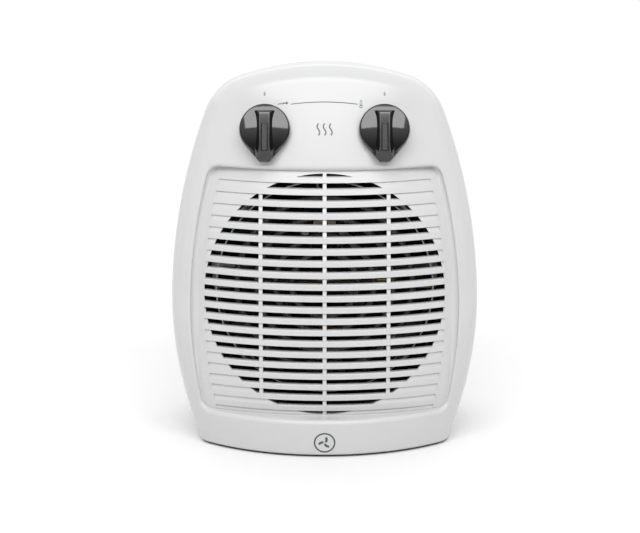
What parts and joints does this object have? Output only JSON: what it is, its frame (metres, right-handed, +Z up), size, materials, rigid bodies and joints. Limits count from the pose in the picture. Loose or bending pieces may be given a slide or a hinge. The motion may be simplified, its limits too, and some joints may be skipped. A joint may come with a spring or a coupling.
{
  "type": "fan convector heater",
  "caption": "Upright tabletop fan heater: barrel-fronted white shell, slatted round outlet, twin teardrop control knobs and an internal axial fan and coil element.",
  "frame": {"origin": "centre of the overall box at floor level, on the soles of the feet", "axes": "+Z up, front grille faces -Y, +X to the right seen from the front"},
  "size_m": [0.2208, 0.1499, 0.275],
  "materials": {
    "white_cover": "satin gloss white moulding",
    "white_grille": "satin white heat-resistant moulding",
    "white_rear": "satin white moulding",
    "filter_mesh": "matt fine black mesh",
    "grey_rubber": "matt",
    "smoke_plastic": "gloss smoke grey",
    "index_strip": "gloss",
    "shaft_nylon": "matt",
    "switch_case": "matt",
    "brass_tabs": "satin",
    "ceramic_body": "matt ceramic",
    "spring_brass": "satin",
    "zinc_steel": "zinc plated",
    "screw_steel": "zinc plated",
    "duct_plastic": "matt heat-resistant",
    "mica": "matt layered mica",
    "heater_wire": "oxidised resistance wire",
    "fan_plastic": "matt",
    "spring_steel": "satin",
    "lamination": "stacked laminations",
    "bobbin_plastic": "matt",
    "copper_winding": "enamelled",
    "cast_alloy": "as cast",
    "bronze": "sintered",
    "rotor_steel": "turned",
    "shaft_steel": "ground",
    "wire_brown": "matt sleeve",
    "wire_blue": "matt sleeve",
    "wire_black": "matt sleeve",
    "wire_white": "matt glass-fibre sleeve"
  },
  "bodies": {
    "cabinet": {"front_cover": "white_cover", "outlet_grille": "white_grille", "rear_housing": "white_rear", "inlet_filter": "filter_mesh", "cord_grommet": "grey_rubber", "foot_front_left": "grey_rubber", "foot_front_right": "grey_rubber", "foot_rear_left": "grey_rubber", "foot_rear_right": "grey_rubber", "rotary_switch": "switch_case", "switch_tabs": "brass_tabs", "thermostat": "ceramic_body", "thermostat_blade": "spring_brass", "thermostat_tabs": "brass_tabs", "control_bracket": "zinc_steel", "control_nuts": "zinc_steel", "control_screws": "screw_steel", "air_duct": "duct_plastic", "heater_frame": "zinc_steel", "mica_board_flat": "mica", "mica_board_upright": "mica", "heating_coil_low": "heater_wire", "heating_coil_high": "heater_wire", "thermal_cutout": "ceramic_body", "thermal_fuse": "brass_tabs", "motor_bridge": "zinc_steel", "motor_stator": "lamination", "motor_bobbin": "bobbin_plastic", "motor_coil": "copper_winding", "motor_bracket_front": "cast_alloy", "motor_bracket_rear": "cast_alloy", "bearing_front": "bronze", "bearing_rear": "bronze", "motor_screws": "screw_steel", "motor_nuts": "screw_steel", "bridge_screws": "screw_steel", "duct_screws": "screw_steel", "housing_screws": "screw_steel", "terminal_block": "switch_case", "wire_live": "wire_brown", "wire_neutral": "wire_blue", "wire_link": "wire_black", "wire_heat_high": "wire_white", "wire_motor": "wire_black"},
    "function_control": {"function_knob": "smoke_plastic", "function_knob_index": "index_strip", "function_shaft": "shaft_nylon"},
    "thermostat_control": {"thermostat_knob": "smoke_plastic", "thermostat_knob_index": "index_strip", "thermostat_shaft": "shaft_nylon"},
    "fan_rotor": {"fan_impeller": "fan_plastic", "fan_clip": "spring_steel", "motor_shaft": "shaft_steel", "motor_rotor": "rotor_steel"}
  },
  "joints": [
    {"name": "function_knob_turn", "type": "hinge", "parent": "cabinet", "child": "function_control", "pos_m": [-0.0425, -0.03879, 0.23337], "axis": [0, -0.9336, 0.3584], "range_deg": [-270, 0]},
    {"name": "thermostat_knob_turn", "type": "hinge", "parent": "cabinet", "child": "thermostat_control", "pos_m": [0.0425, -0.03879, 0.23337], "axis": [0, -0.9336, 0.3584], "range_deg": [-300, 0]},
    {"name": "fan_spin", "type": "hinge", "parent": "cabinet", "child": "fan_rotor", "pos_m": [0, 0.02, 0.1154], "axis": [0, -1, 0], "continuous": true}
  ]
}
